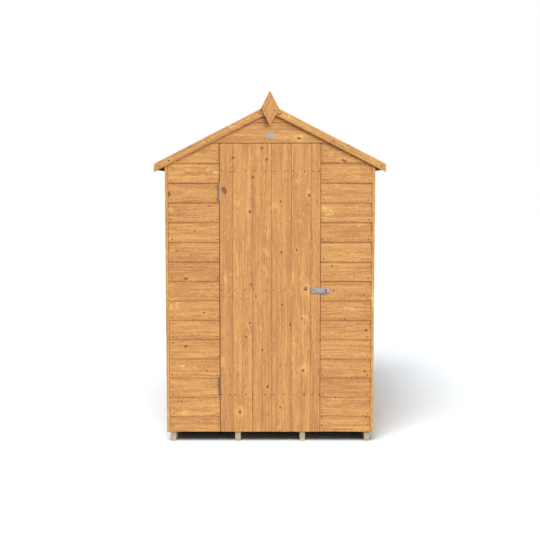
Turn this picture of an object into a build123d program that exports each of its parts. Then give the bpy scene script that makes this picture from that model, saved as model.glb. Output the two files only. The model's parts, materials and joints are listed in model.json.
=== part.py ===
from build123d import *
import math
import os

# Apex-roofed wooden garden shed. Millimetres, +X right and -Y towards the front, +Z up, ground at zero.

# Overall size of the wall frames and the roof line
wall_width = 1274.0  # outside of the left frame to outside of the right frame
wall_depth = 1770.0  # outside of the front frame to outside of the back frame
eaves_height = 1787.0  # ground to the roof deck's underside over the outside of a side frame
roof_pitch = 27.0  # degrees
overrun = 5.0  # how far a cutting solid runs past what it cuts

# Floor
bearer_count = 4
bearer_width = 34.0
bearer_height = 68.0
floor_thickness = 12.0
floor_inset = 3.0  # floor edge behind the outside of the wall frames

# Wall framing
batten = 28.0  # square section of every wall batten
side_stud_count = 4
back_stud_count = 4
side_panel_width = 317.0  # each front panel beside the doorway
rafter_gap = 2.0  # between the two rafters of a gable, at the ridge

# Lapped cladding boards
board_thickness = 8.0
board_lap = 20.0
board_pitch = 123.0
cladding_bottom = 65.0
least_exposure = 40.0  # the bottom board shows at least this much

# Corner strips
corner_strip_thickness = 18.0
corner_strip_width = 45.0
corner_strip_drop = 3.0  # below the cladding's lower edge

# Roof
deck_thickness = 10.0
eaves_overhang = 80.0  # deck past the outside of a side frame
gable_overhang = 4.0  # deck past the face of the gable cladding
felt_thickness = 2.5
ridge_cap_width = 150.0  # each side of the ridge, down the slope
eaves_strip_width = 28.0
eaves_strip_depth = 22.0
ridge_batten_width = 28.0
ridge_batten_depth = 22.0

# Bargeboards and finials
bargeboard_width = 42.0
bargeboard_thickness = 14.0
finial_width = 110.0
finial_height = 216.0
finial_thickness = 14.0
finial_drop = 27.0  # finial's middle below the peak of the bargeboards

# Doorway and door
head_rise = 101.0  # doorway head above the eaves height
hinge_side_gap = 6.0
latch_side_gap = 6.0
head_gap = 6.0
door_board_thickness = 12.0
first_door_board_width = 78.0
door_board_width = 122.5
joint_groove_width = 4.0
joint_groove_depth = 3.0
bead_groove_width = 2.4
bead_groove_depth = 1.4
door_frame_thickness = 28.0
ledge_width = 70.0
stile_width = 45.0
latch_edge_inset = 12.0  # ledges and latch stile stop short of the leaf's edge
brace_foot = 78.0
ledge_height_shares = (0.134, 0.502, 0.908)
stop_width = 40.0
stop_thickness = 15.0
stop_cover = 14.0  # how far the stop reaches into the doorway

# Butt hinges
hinge_length = 112.0
hinge_leaf_width = 30.0
hinge_leaf_thickness = 1.5
knuckle_radius = 5.0
knuckle_count = 5
knuckle_gap = 0.5
hinge_pin_radius = 2.5
hinge_height_shares = (0.165, 0.836)

# Hasp and staple
hasp_setback = 55.0  # hasp pin from the door's latch edge
hasp_length = 112.0  # pin to free end
hasp_height = 35.0
hasp_height_share = 0.496
hasp_flap_thickness = 2.0
hasp_base_length = 42.0
hasp_base_thickness = 1.5
hasp_knuckle_radius = 3.5
hasp_pin_radius = 1.75
hasp_knuckle_share = 0.42  # middle knuckle's share of the hasp's height
hasp_corner = 8.0
hasp_slot_reach = 92.0  # pin to the middle of the slot
hasp_slot_width = 10.5
hasp_slot_height = 25.0
hasp_rib_start = 17.0
hasp_rib_length = 62.0
hasp_rib_height = 12.0
hasp_rib_rise = 1.2
staple_wire_radius = 2.5
staple_spread = 14.0  # between the middles of the two legs
staple_reach = 26.0
staple_plate_width = 22.0
staple_plate_height = 32.0
staple_plate_thickness = 1.5
pin_clearance = 0.1
surface_clearance = 0.3  # round knuckles off the flat face behind them

# Worked-out values
tan_pitch = math.tan(math.radians(roof_pitch))
cos_pitch = math.cos(math.radians(roof_pitch))
half_width = wall_width / 2
half_depth = wall_depth / 2
board_slope = board_thickness / board_pitch
board_height = board_pitch + board_lap
cladding_depth = board_thickness + board_slope * board_height
front_face = -(half_depth + cladding_depth)
floor_top = bearer_height + floor_thickness
head = eaves_height + head_rise
half_doorway = half_width - side_panel_width
eaves_edge = half_width + eaves_overhang
roof_end = half_depth + cladding_depth + gable_overhang
door_left = -half_doorway + hinge_side_gap
door_right = half_doorway - latch_side_gap
door_top = head - head_gap
door_height = door_top - cladding_bottom
door_board_back = front_face + door_board_thickness
door_frame_back = door_board_back + door_frame_thickness
hinge_x = -half_doorway + hinge_side_gap / 2
hinge_y = front_face - knuckle_radius - surface_clearance
hasp_x = door_right - hasp_setback
hasp_y = front_face - hasp_knuckle_radius - surface_clearance
hasp_z = cladding_bottom + hasp_height_share * door_height


def roof_under(x):
    return eaves_height + (half_width - abs(x)) * tan_pitch


def deck_top(x):
    return roof_under(x) + deck_thickness / cos_pitch


def felt_top(x):
    return deck_top(x) + felt_thickness / cos_pitch


def block(x0, x1, y0, y1, z0, z1):
    middle = Pos((x0 + x1) / 2, (y0 + y1) / 2, (z0 + z1) / 2)
    return middle * Box(abs(x1 - x0), abs(y1 - y0), abs(z1 - z0))


def prism_along_y(outline, y0, y1):
    face = make_face(Polyline(*[(x, y0, z) for x, z in outline], close=True))
    return extrude(face, amount=y1 - y0, dir=(0, 1, 0))


def prism_along_x(outline, x0, x1):
    face = make_face(Polyline(*[(x0, y, z) for y, z in outline], close=True))
    return extrude(face, amount=x1 - x0, dir=(1, 0, 0))


def cylinder_up(x, y, radius, z0, z1):
    return Pos(x, y, (z0 + z1) / 2) * Cylinder(radius, z1 - z0)


def under_roof(drop):
    # everything below the deck's underside, lowered by a plumb drop
    low = roof_under(eaves_edge) - drop
    outline = [(-eaves_edge, 0), (eaves_edge, 0), (eaves_edge, low)]
    outline += [(0, roof_under(0) - drop), (-eaves_edge, low)]
    return prism_along_y(outline, -roof_end, roof_end)


def mirrored_pair(make):
    return Compound([make(-1), make(1)])


def across(side, near, far):
    # X limits of something between two distances from the middle, on one side
    return sorted((side * near, side * far))


def evenly(count, first, last):
    return [first + (last - first) * i / (count - 1) for i in range(count)]


def floor_bearers():
    reach = half_width - floor_inset - bearer_width / 2
    end = half_depth - floor_inset
    solids = []
    for x in evenly(bearer_count, -reach, reach):
        solids.append(block(x - bearer_width / 2, x + bearer_width / 2, -end, end, 0, bearer_height))
    return Compound(solids)


def floor_deck():
    reach = half_width - floor_inset
    end = half_depth - floor_inset
    return block(-reach, reach, -end, end, bearer_height, floor_top)


def lap_lines():
    # lower edges of the boards, set out up and down from the doorway head
    below = int((head - cladding_bottom - least_exposure) // board_pitch)
    above = int((roof_under(0) - head) // board_pitch)
    return [head + board_pitch * i for i in range(-below, above + 1)]


def lapped_outline(lower_edges, top):
    # section of overlapping leaning boards as (depth, height), frame plane at zero depth
    tops = [z + board_lap for z in lower_edges[1:]] + [top]
    outer = []
    inner = []
    for i, low in enumerate(lower_edges):
        shown = lower_edges[i + 1] if i + 1 < len(lower_edges) else top
        seat = low + board_lap if i > 0 else low
        outer.append((board_slope * (tops[i] - low) + board_thickness, low))
        outer.append((board_slope * (tops[i] - shown) + board_thickness, shown))
        inner.append((board_slope * (tops[i] - seat), seat))
        inner.append((0, tops[i]))
    return outer + inner[::-1]


def cladding_along_x(facing, lower_edges, top, x0, x1):
    outline = [(facing * (half_depth + d), z) for d, z in lapped_outline(lower_edges, top)]
    return prism_along_x(outline, x0, x1) & under_roof(0)


def front_panel_cladding(side):
    edges = [cladding_bottom] + [z for z in lap_lines() if z < head - board_lap]
    x0, x1 = across(side, half_doorway, half_width)
    return cladding_along_x(-1, edges, head + board_lap, x0, x1)


def front_gable_cladding():
    edges = [z for z in lap_lines() if z > head - board_lap]
    return cladding_along_x(-1, edges, edges[-1] + board_height, -half_width, half_width)


def back_wall_cladding():
    edges = [cladding_bottom] + lap_lines()
    return cladding_along_x(1, edges, edges[-1] + board_height, -half_width, half_width)


def side_wall_cladding(side):
    edges = [cladding_bottom] + [z for z in lap_lines() if z < eaves_height - board_lap]
    outline = [(side * (half_width + d), z) for d, z in lapped_outline(edges, edges[-1] + board_height)]
    end = half_depth + corner_strip_thickness - corner_strip_width
    return prism_along_y(outline, -end, end) & under_roof(0)


def corner_strips(facing):
    def strip(side):
        x0, x1 = across(side, half_width, half_width + corner_strip_thickness)
        outer = half_depth + corner_strip_thickness
        y0, y1 = sorted((facing * outer, facing * (outer - corner_strip_width)))
        return block(x0, x1, y0, y1, cladding_bottom - corner_strip_drop, roof_under(0)) & under_roof(0)
    return mirrored_pair(strip)


def gable_stud(x, facing):
    # upright of a gable frame, cut to the underside of the rafter
    y0, y1 = sorted((facing * half_depth, facing * (half_depth - batten)))
    post = block(x - batten / 2, x + batten / 2, y0, y1, floor_top + batten, roof_under(0))
    return post & under_roof(batten / cos_pitch)


def front_studs():
    corner = half_width - batten / 2
    door_post = half_doorway + batten / 2
    return Compound([gable_stud(x, -1) for x in (-corner, -door_post, door_post, corner)])


def front_bottom_rails():
    def rail(side):
        x0, x1 = across(side, half_doorway, half_width)
        return block(x0, x1, -half_depth, batten - half_depth, floor_top, floor_top + batten)
    return mirrored_pair(rail)


def door_head():
    rail = block(-half_doorway, half_doorway, -half_depth, batten - half_depth, head, head + batten)
    return rail & under_roof(batten / cos_pitch)


def rafters(facing):
    def rafter(side):
        drop = batten / cos_pitch
        tip = side * rafter_gap / 2
        foot = side * half_width
        outline = [(tip, roof_under(tip)), (foot, roof_under(foot))]
        outline += [(foot, roof_under(foot) - drop), (tip, roof_under(tip) - drop)]
        y0, y1 = sorted((facing * half_depth, facing * (half_depth - batten)))
        return prism_along_y(outline, y0, y1)
    return mirrored_pair(rafter)


def side_wall_studs(side):
    x0, x1 = across(side, half_width - batten, half_width)
    half = batten / 2
    reach = half_depth - batten - half
    solids = []
    for y in evenly(side_stud_count, -reach, reach):
        solids.append(block(x0, x1, y - half, y + half, floor_top + batten, eaves_height - batten))
    return Compound(solids)


def side_wall_rails(side):
    x0, x1 = across(side, half_width - batten, half_width)
    end = half_depth - batten
    low = eaves_height - batten
    bottom = block(x0, x1, -end, end, floor_top, floor_top + batten)
    outline = [(x0, low), (x1, low), (x1, roof_under(x1)), (x0, roof_under(x0))]
    return Compound([bottom, prism_along_y(outline, -end, end)])


def back_wall_studs():
    reach = half_width - batten / 2
    return Compound([gable_stud(x, 1) for x in evenly(back_stud_count, -reach, reach)])


def back_bottom_rail():
    return block(-half_width, half_width, half_depth - batten, half_depth, floor_top, floor_top + batten)


def roof_deck(side):
    edge = side * eaves_edge
    outline = [(0, roof_under(0)), (edge, roof_under(edge)), (edge, deck_top(edge)), (0, deck_top(0))]
    return prism_along_y(outline, -roof_end, roof_end)


def ridge_battens():
    def one(side):
        near = side * rafter_gap / 2
        far = side * ridge_batten_width
        low = roof_under(far) - ridge_batten_depth
        outline = [(near, low), (far, low), (far, roof_under(far)), (near, roof_under(near))]
        return prism_along_y(outline, batten - half_depth, half_depth - batten)
    return mirrored_pair(one)


def eaves_strips():
    def one(side):
        near = side * (eaves_edge - eaves_strip_width)
        far = side * eaves_edge
        low = roof_under(far) - eaves_strip_depth
        outline = [(near, low), (far, low), (far, roof_under(far)), (near, roof_under(near))]
        return prism_along_y(outline, -roof_end, roof_end)
    return mirrored_pair(one)


def roof_felt(side):
    # over the deck and turned down the outside of the eaves strip
    edge = side * eaves_edge
    outside = side * (eaves_edge + felt_thickness)
    low = roof_under(edge) - eaves_strip_depth
    outline = [(0, deck_top(0)), (edge, deck_top(edge)), (edge, low), (outside, low)]
    outline += [(outside, felt_top(outside)), (0, felt_top(0))]
    return prism_along_y(outline, -roof_end, roof_end)


def felt_ridge_cap():
    reach = ridge_cap_width * cos_pitch
    rise = felt_thickness / cos_pitch
    outline = [(-reach, felt_top(reach)), (0, felt_top(0)), (reach, felt_top(reach))]
    outline += [(x, z + rise) for x, z in outline[::-1]]
    return prism_along_y(outline, -roof_end, roof_end)


def bargeboard(side, facing):
    tip = side * (eaves_edge + felt_thickness)
    drop = bargeboard_width / cos_pitch
    outline = [(0, deck_top(0)), (tip, deck_top(tip)), (tip, deck_top(tip) - drop), (0, deck_top(0) - drop)]
    y0, y1 = sorted((facing * roof_end, facing * (roof_end + bargeboard_thickness)))
    return prism_along_y(outline, y0, y1)


def finial(facing):
    middle = deck_top(0) - finial_drop
    tall = finial_height / 2
    wide = finial_width / 2
    outline = [(0, middle - tall), (wide, middle), (0, middle + tall), (-wide, middle)]
    near = roof_end + bargeboard_thickness
    y0, y1 = sorted((facing * near, facing * (near + finial_thickness)))
    return prism_along_y(outline, y0, y1)


def door_stop():
    # upright strip behind the latch post that the closed door comes up to
    near = half_doorway - stop_cover
    back = batten - half_depth
    return block(near, near + stop_width, back, back + stop_thickness, floor_top, head)


def groove(x, width, depth):
    outline = [(x - width / 2, front_face), (x, front_face + depth), (x + width / 2, front_face)]
    face = make_face(Polyline(*[(px, py, cladding_bottom - overrun) for px, py in outline], close=True))
    return extrude(face, amount=door_height + overrun * 2, dir=(0, 0, 1))


def door_boards():
    leaf = block(door_left, door_right, front_face, door_board_back, cladding_bottom, door_top)
    joint = door_left + first_door_board_width
    while joint < door_right - joint_groove_width:
        leaf = leaf - groove(joint, joint_groove_width, joint_groove_depth)
        bead = joint + door_board_width / 2
        if bead < door_right - joint_groove_width:
            leaf = leaf - groove(bead, bead_groove_width, bead_groove_depth)
        joint += door_board_width
    return leaf


def ledge_limits():
    middles = [cladding_bottom + share * door_height for share in ledge_height_shares]
    return [(z - ledge_width / 2, z + ledge_width / 2) for z in middles]


def door_bays():
    # upright spaces between one ledge and the next
    limits = ledge_limits()
    return [(lower[1], upper[0]) for lower, upper in zip(limits, limits[1:])]


def door_ledges():
    right = door_right - latch_edge_inset
    solids = []
    for z0, z1 in ledge_limits():
        solids.append(block(door_left, right, door_board_back, door_frame_back, z0, z1))
    return Compound(solids)


def door_stiles():
    right = door_right - latch_edge_inset
    solids = []
    for z0, z1 in door_bays():
        solids.append(block(door_left, door_left + stile_width, door_board_back, door_frame_back, z0, z1))
        solids.append(block(right - stile_width, right, door_board_back, door_frame_back, z0, z1))
    return Compound(solids)


def door_braces():
    left = door_left + stile_width
    right = door_right - latch_edge_inset - stile_width
    solids = []
    for z0, z1 in door_bays():
        outline = [(left, z0), (left + brace_foot, z0), (right, z1), (right - brace_foot, z1)]
        solids.append(prism_along_y(outline, door_board_back, door_frame_back))
    return Compound(solids)


def knuckle_limits(middle):
    step = hinge_length / knuckle_count
    bottom = middle - hinge_length / 2
    return [(bottom + step * i, bottom + step * (i + 1) - knuckle_gap) for i in range(knuckle_count)]


def hinge_leaf(middle, x0, x1, first):
    # plate in the gap beside the leaf, with every second knuckle from the first one given
    limits = knuckle_limits(middle)
    low = limits[0][0]
    top = limits[-1][1]
    plate_front = hinge_y + knuckle_radius + knuckle_gap
    leaf = block(x0, x1, plate_front, plate_front + hinge_leaf_width, low, top)
    for z0, z1 in limits[first::2]:
        leaf = leaf + block(x0, x1, hinge_y, plate_front, z0, z1)
        leaf = leaf + cylinder_up(hinge_x, hinge_y, knuckle_radius, z0, z1)
    return leaf


def hinge_heights():
    return [cladding_bottom + share * door_height for share in hinge_height_shares]


def hinge_frame_leaves():
    solids = []
    for middle in hinge_heights():
        leaf = hinge_leaf(middle, -half_doorway, hinge_leaf_thickness - half_doorway, 0)
        limits = knuckle_limits(middle)
        solids.append(leaf + cylinder_up(hinge_x, hinge_y, hinge_pin_radius, limits[0][0], limits[-1][1]))
    return Compound(solids)


def hinge_door_leaves():
    solids = []
    for middle in hinge_heights():
        leaf = hinge_leaf(middle, door_left - hinge_leaf_thickness, door_left, 1)
        bore = hinge_pin_radius + pin_clearance
        half = hinge_length / 2 + overrun
        solids.append(leaf - cylinder_up(hinge_x, hinge_y, bore, middle - half, middle + half))
    return Compound(solids)


def hasp_base():
    half = hasp_height / 2
    knuckle = half * hasp_knuckle_share - knuckle_gap
    start = hasp_x + hasp_knuckle_radius + knuckle_gap
    plate_front = front_face - hasp_base_thickness
    plate = block(start, hasp_x + hasp_base_length, plate_front, front_face, hasp_z - half, hasp_z + half)
    tongue = block(hasp_x, start, plate_front, front_face, hasp_z - knuckle, hasp_z + knuckle)
    barrel = cylinder_up(hasp_x, hasp_y, hasp_knuckle_radius, hasp_z - knuckle, hasp_z + knuckle)
    bore = cylinder_up(hasp_x, hasp_y, hasp_pin_radius + pin_clearance, hasp_z - half, hasp_z + half)
    return plate + tongue + barrel - bore


def hasp_flap():
    half = hasp_height / 2
    knuckle = half * hasp_knuckle_share
    start = hasp_x + hasp_knuckle_radius + knuckle_gap
    end = hasp_x + hasp_length
    outer = hasp_y - hasp_knuckle_radius
    inner = outer + hasp_flap_thickness
    outline = [(start, -half), (end - hasp_corner, -half), (end, hasp_corner - half)]
    outline += [(x, -z) for x, z in outline[::-1]]
    flap = prism_along_y([(x, hasp_z + z) for x, z in outline], outer, inner)
    rib_start = hasp_x + hasp_rib_start
    rib_end = rib_start + hasp_rib_length
    rib = hasp_rib_height / 2
    flap = flap + block(rib_start, rib_end, outer - hasp_rib_rise, inner, hasp_z - rib, hasp_z + rib)
    slot_start = hasp_x + hasp_slot_reach - hasp_slot_width / 2
    slot_end = slot_start + hasp_slot_width
    tall = hasp_slot_height / 2
    front = outer - overrun
    back = inner + overrun
    flap = flap - block(slot_start, slot_end, front, back, hasp_z - tall, hasp_z + tall)
    for z0, z1 in ((-half, -knuckle), (knuckle, half)):
        flap = flap + block(hasp_x, start, outer, inner, hasp_z + z0, hasp_z + z1)
        flap = flap + cylinder_up(hasp_x, hasp_y, hasp_knuckle_radius, hasp_z + z0, hasp_z + z1)
    return flap + cylinder_up(hasp_x, hasp_y, hasp_pin_radius, hasp_z - half, hasp_z + half)


def hasp_staple():
    # loop on a plate that lies flat on the leaning board beside the doorway
    lower = max(z for z in [cladding_bottom] + lap_lines() if z <= hasp_z)
    upper = min(z for z in lap_lines() if z > hasp_z)
    depth = board_slope * (upper + board_lap - hasp_z) + board_thickness
    if hasp_z - lower < staple_plate_height / 2:
        depth = board_slope * (upper + board_lap - lower) + board_thickness
    place = (hasp_x + hasp_slot_reach, -half_depth - depth, hasp_z)
    seat = Plane(place, x_dir=(1, 0, 0), z_dir=(0, -1, board_slope))
    leg = staple_reach - staple_spread / 2 - staple_wire_radius
    half = staple_spread / 2
    bend = ThreePointArc((0, -half, leg), (0, 0, leg + half), (0, half, leg))
    path = Wire([Line((0, -half, 0), (0, -half, leg)), bend, Line((0, half, leg), (0, half, 0))])
    loop = sweep(Pos(0, -half, 0) * Circle(staple_wire_radius), path=path)
    middle = Pos(0, 0, staple_plate_thickness / 2)
    plate = middle * Box(staple_plate_width, staple_plate_height, staple_plate_thickness)
    return seat * (plate + loop)


nodes = {
    "floor_bearers": floor_bearers(),
    "floor_deck": floor_deck(),
    "front_left_cladding": front_panel_cladding(-1),
    "front_right_cladding": front_panel_cladding(1),
    "front_gable_cladding": front_gable_cladding(),
    "left_wall_cladding": side_wall_cladding(-1),
    "right_wall_cladding": side_wall_cladding(1),
    "back_wall_cladding": back_wall_cladding(),
    "front_studs": front_studs(),
    "front_bottom_rails": front_bottom_rails(),
    "door_head": door_head(),
    "front_rafters": rafters(-1),
    "left_wall_studs": side_wall_studs(-1),
    "left_wall_rails": side_wall_rails(-1),
    "right_wall_studs": side_wall_studs(1),
    "right_wall_rails": side_wall_rails(1),
    "back_wall_studs": back_wall_studs(),
    "back_bottom_rail": back_bottom_rail(),
    "back_rafters": rafters(1),
    "front_corner_strips": corner_strips(-1),
    "back_corner_strips": corner_strips(1),
    "roof_deck_left": roof_deck(-1),
    "roof_deck_right": roof_deck(1),
    "ridge_battens": ridge_battens(),
    "eaves_strips": eaves_strips(),
    "felt_left": roof_felt(-1),
    "felt_right": roof_felt(1),
    "felt_ridge_cap": felt_ridge_cap(),
    "bargeboard_front_left": bargeboard(-1, -1),
    "bargeboard_front_right": bargeboard(1, -1),
    "bargeboard_back_left": bargeboard(-1, 1),
    "bargeboard_back_right": bargeboard(1, 1),
    "finial_front": finial(-1),
    "finial_back": finial(1),
    "door_stop": door_stop(),
    "door_boards": door_boards(),
    "door_ledges": door_ledges(),
    "door_stiles": door_stiles(),
    "door_braces": door_braces(),
    "hinge_frame_leaves": hinge_frame_leaves(),
    "hinge_door_leaves": hinge_door_leaves(),
    "hasp_base": hasp_base(),
    "hasp_flap": hasp_flap(),
    "hasp_staple": hasp_staple(),
}

os.makedirs("parts", exist_ok=True)
for name, shape in nodes.items():
    export_step(shape, f"parts/{name}.step")
    print(name, round(shape.volume / 1e6, 4), "litres")
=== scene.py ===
import json
import math
import random
from functools import partial

import bmesh
import bpy
import numpy as np
from mathutils import Matrix, Vector, noise


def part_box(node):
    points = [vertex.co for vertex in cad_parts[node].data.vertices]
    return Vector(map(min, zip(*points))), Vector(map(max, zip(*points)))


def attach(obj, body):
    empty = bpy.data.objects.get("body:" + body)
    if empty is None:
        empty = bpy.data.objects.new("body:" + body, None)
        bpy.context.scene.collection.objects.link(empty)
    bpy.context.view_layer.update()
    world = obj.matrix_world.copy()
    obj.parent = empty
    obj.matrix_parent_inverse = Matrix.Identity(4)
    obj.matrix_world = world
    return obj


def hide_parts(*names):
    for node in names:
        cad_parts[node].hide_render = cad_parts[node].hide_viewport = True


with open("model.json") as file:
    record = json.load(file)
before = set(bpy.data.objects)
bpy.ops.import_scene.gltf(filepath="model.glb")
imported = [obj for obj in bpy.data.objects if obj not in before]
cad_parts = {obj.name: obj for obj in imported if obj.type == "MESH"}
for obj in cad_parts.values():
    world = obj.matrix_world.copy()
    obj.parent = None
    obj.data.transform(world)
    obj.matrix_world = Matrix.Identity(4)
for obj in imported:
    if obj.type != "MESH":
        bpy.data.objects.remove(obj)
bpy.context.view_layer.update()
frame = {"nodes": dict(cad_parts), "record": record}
scene = bpy.context.scene
dice = random.Random(27)
mm = 0.001

# places of the carcass, read from the frame
roofPitch = math.radians(27.0)
roofTan = math.tan(roofPitch)
studLow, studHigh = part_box("front_studs")
halfWidth, halfDepth = studHigh.x, -studLow.y
panelLow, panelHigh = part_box("front_left_cladding")
boardsFoot, doorwayHalf = panelLow.z, -panelHigh.x
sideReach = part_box("left_wall_cladding")[1].y
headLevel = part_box("front_gable_cladding")[0].z
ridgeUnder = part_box("front_rafters")[1].z
eavesLevel = ridgeUnder - halfWidth * roofTan
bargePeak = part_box("bargeboard_front_left")[1].z
doorLow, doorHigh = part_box("door_boards")
slotOf = {row["node"]: row["material_slot"] for row in frame["record"]["subparts"]}
bodyOf = {node: body for body, nodes in frame["record"]["behaviour"]["bodies"].items() for node in nodes}


def nodesOf(slot):      # in the record's order
    return [node for node, own in slotOf.items() if own == slot]


# node helpers
def addNode(tree, kind, inputs=None, **settings):
    node = tree.nodes.new("ShaderNode" + kind)
    for key, value in settings.items():
        setattr(node, key, value)
    for key, value in (inputs or {}).items():
        if isinstance(value, bpy.types.NodeSocket):
            tree.links.new(value, node.inputs[key])
        else:
            node.inputs[key].default_value = value
    return node


def treeOf(*values):        # the tree of the sockets that a helper joins
    return next(value.id_data for value in values if isinstance(value, bpy.types.NodeSocket))


def maths(operation, *values, clamp=False):
    inputs = dict(enumerate(values))
    return addNode(treeOf(*values), "Math", inputs, operation=operation, use_clamp=clamp).outputs[0]


plus, minus = partial(maths, "ADD"), partial(maths, "SUBTRACT")
times, over = partial(maths, "MULTIPLY"), partial(maths, "DIVIDE")
timesPlus, power = partial(maths, "MULTIPLY_ADD"), partial(maths, "POWER")
most, least = partial(maths, "MAXIMUM"), partial(maths, "MINIMUM")


def stretch(vector, scale):
    return addNode(treeOf(vector), "VectorMath", {0: vector, 1: scale}, operation="MULTIPLY").outputs[0]


def mixColour(factor, first, second):
    return addNode(treeOf(factor), "Mix", {0: factor, 6: first, 7: second}, data_type="RGBA").outputs[2]


def ramp(value, start, stop, low=0.0, high=1.0):
    inputs = {"Value": value, "From Min": start, "From Max": stop, "To Min": low, "To Max": high}
    return addNode(treeOf(value), "MapRange", inputs, interpolation_type="SMOOTHSTEP").outputs[0]


def cloud(vector, scale, detail=2.0, rough=0.5):
    inputs = {"Vector": vector, "Scale": scale, "Detail": detail, "Roughness": rough}
    return addNode(treeOf(vector), "TexNoise", inputs).outputs[0]


def cellShades(vector, rate):       # three chance values for each cell
    cells = addNode(treeOf(vector), "TexVoronoi", {"Vector": vector, "Scale": rate}).outputs["Color"]
    return addNode(treeOf(cells), "SeparateColor", {0: cells}).outputs


def newGroup(name, inputs, outputs):
    tree = bpy.data.node_groups.new(name, "ShaderNodeTree")
    for side, sockets in (("INPUT", inputs), ("OUTPUT", outputs)):
        for label, kind in sockets:
            tree.interface.new_socket(label, in_out=side, socket_type="NodeSocket" + kind)
    return tree, tree.nodes.new("NodeGroupInput").outputs, tree.nodes.new("NodeGroupOutput").inputs


def closeGroup(tree, out, found):
    for label, value in found.items():
        tree.links.new(value, out[label])
    return tree


def placeGroup(group, inputs):
    return addNode(treeOf(*inputs.values()), "Group", inputs, node_tree=group).outputs


def newMaterial(name, fixed):       # fixed: what is the same all over the surface
    material = bpy.data.materials.new(name)
    material.use_nodes = True
    tree = material.node_tree
    tree.nodes.clear()
    shader = addNode(tree, "BsdfPrincipled", fixed)
    addNode(tree, "OutputMaterial", {0: shader.outputs[0]})
    return material, tree, shader


faceOutputs = [("Color", "Color"), ("Roughness", "Float"), ("Height", "Float")]


def wireFace(shader, look, relief):     # colour, roughness and bump of a finish
    tree = shader.id_data
    bump = addNode(tree, "Bump", {"Height": look["Height"], "Distance": relief})
    tree.links.new(look["Color"], shader.inputs["Base Color"])
    tree.links.new(look["Roughness"], shader.inputs["Roughness"])
    tree.links.new(bump.outputs[0], shader.inputs["Normal"])


# knots: the group runs once for each knot of a board; its lengths are in knot radii unless in mm
knots = {"perBoard": 6, "inside": (0.1, 0.9), "away": 90.0, "spare": 5 * mm, "drawSpan": (0.3, 0.7),
         "long": (0.8, 1.4), "longDraw": (41.0, 57.0, 0.0), "slant": 0.35, "slantDraw": (67.0, 29.0, 0.0),
         "rimAt": 0.82, "rim": 2.6 * mm, "year": 0.42 * mm, "yearDepth": 0.3, "yearEdge": (1.0, 0.8),
         "bend": 0.8, "bendSize": (4.5, 2.4), "tailSize": (5.0, 0.7), "flareSize": (4.0, 2.6),
         "flareLean": (-0.4, 0.4), "flareSlide": (-1.6, 1.6), "flareSide": 0.5,
         "flareFrom": (8 * mm, 9.5 * mm), "flareTo": (15 * mm, 12 * mm)}
knotLabels = ["knot%d" % index for index in range(knots["perBoard"])]
knotStart = {"Bend": 0.0, "Reach": knots["away"], "Tail": 0.0, "Flare": 0.0, "Rim": 0.0}


def buildKnotGroup():
    carried = [(label, "Float") for label in knotStart]
    tree, given, out = newGroup("knotField", [("Grain", "Vector"), ("Knot", "Vector")] + carried, carried)
    here = addNode(tree, "SeparateXYZ", {0: given["Grain"]}).outputs
    knot = addNode(tree, "SeparateXYZ", {0: given["Knot"]}).outputs
    radius = knot[2]
    along = over(minus(here[0], knot[0]), radius)
    off = minus(here[1], knot[1])
    across = over(off, radius)

    def bell(squared):
        return maths("EXPONENT", times(squared, -1.0))

    def fading(long, wide, ahead=0.0, beside=0.0):      # falls off round a point near the knot
        first = over(minus(along, ahead), long)
        second = over(minus(across, beside), wide)
        return bell(timesPlus(first, first, times(second, second)))

    def ownDraw(rates, low, high):      # a value of this knot's own, drawn by its place
        return ramp(cloud(stretch(given["Knot"], rates), 1.0, 0.0), *knots["drawSpan"], low, high)

    lean = ownDraw(knots["slantDraw"], -knots["slant"], knots["slant"])
    slanted = timesPlus(across, lean, along)
    oval = over(slanted, ownDraw(knots["longDraw"], *knots["long"]))
    oval = power(oval, 2.0)
    reach = maths("SQRT", timesPlus(across, across, oval))
    edge = times(minus(reach, knots["rimAt"]), radius)
    rim = bell(power(over(edge, knots["rim"]), 2.0))
    years = over(times(reach, radius), knots["year"])
    years = timesPlus(maths("SINE", years), knots["yearDepth"], knots["yearDepth"])
    years = times(years, ramp(reach, *knots["yearEdge"]))       # the branch's own rings
    fade = fading(*knots["bendSize"])
    push = times(times(off, fade), knots["bend"])
    slide = ramp(lean, *knots["flareLean"], *knots["flareSlide"])
    flare = fading(*knots["flareSize"], slide, knots["flareSide"])
    for span in (knots["flareTo"], knots["flareFrom"]):         # only knots of a middling size have one
        flare = times(flare, ramp(radius, *span))
    found = {"Bend": plus(given["Bend"], push),
             "Reach": least(given["Reach"], reach),
             "Tail": most(given["Tail"], fading(*knots["tailSize"])),
             "Flare": most(given["Flare"], flare),
             "Rim": most(given["Rim"], most(rim, years))}
    return closeGroup(tree, out, found)


# wood: each board carries its own grain coordinates, its tone and the places of its knots
# figures: rates along and across the grain, then the noise's detail and roughness
figures = {"sway": (1.3, 9.0, 2.0, 0.5), "ripple": (5.0, 60.0, 2.0, 0.5), "streak": (5.0, 150.0, 4.0, 0.65),
           "broad": (4.0, 24.0, 2.0, 0.5), "mottle": (80.0, 145.0, 3.0, 0.75),
           "fibre": (40.0, 1500.0, 1.0, 0.5), "dashes": (30.0, 170.0, 2.0, 0.6),
           "blush": (3.4, 34.0, 3.0, 0.6), "stripe": (0.9, 75.0, 2.0, 0.55), "bloom": (8.0, 17.0, 3.0, 0.6)}
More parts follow.
